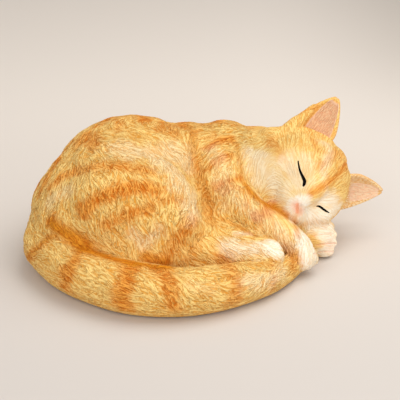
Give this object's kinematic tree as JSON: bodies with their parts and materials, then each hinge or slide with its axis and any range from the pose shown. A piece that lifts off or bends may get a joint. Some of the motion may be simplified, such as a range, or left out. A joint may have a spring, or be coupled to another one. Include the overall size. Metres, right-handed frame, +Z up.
{
  "type": "sleeping cat figurine",
  "caption": "Life-size cast resin ornament of a kitten curled up asleep, with carved fur, painted tabby stripes, a flat closed underside and felt feet.",
  "frame": {"origin": "middle of the figure's bounding box seen from above, on the surface that its felt pads rest on", "axes": "+X from the rump to the head, along the length; -Y is the front, where the tail wraps round and the paws lie; +Z up"},
  "size_m": [0.3064, 0.2096, 0.1249],
  "materials": {
    "painted_resin": "satin",
    "ear_resin": "satin",
    "base_board": "matte",
    "plug_rubber": "matte",
    "pad_felt": "matte",
    "pin_steel": "satin"
  },
  "bodies": {
    "root": {"body": "painted_resin", "head": "painted_resin", "right_ear": "ear_resin", "left_ear": "ear_resin", "right_foreleg": "painted_resin", "left_foreleg": "painted_resin", "right_hind_foot": "painted_resin", "tail": "painted_resin", "base_plate": "base_board", "vent_plug": "plug_rubber", "felt_pad_left_rear": "pad_felt", "felt_pad_left_front": "pad_felt", "felt_pad_right_front": "pad_felt", "felt_pad_right_rear": "pad_felt", "neck_pin_upper": "pin_steel", "neck_pin_lower": "pin_steel", "tail_pin_root": "pin_steel", "tail_pin_middle": "pin_steel", "right_foreleg_pin": "pin_steel", "left_foreleg_pin": "pin_steel", "hind_foot_pin": "pin_steel"}
  },
  "joints": []
}
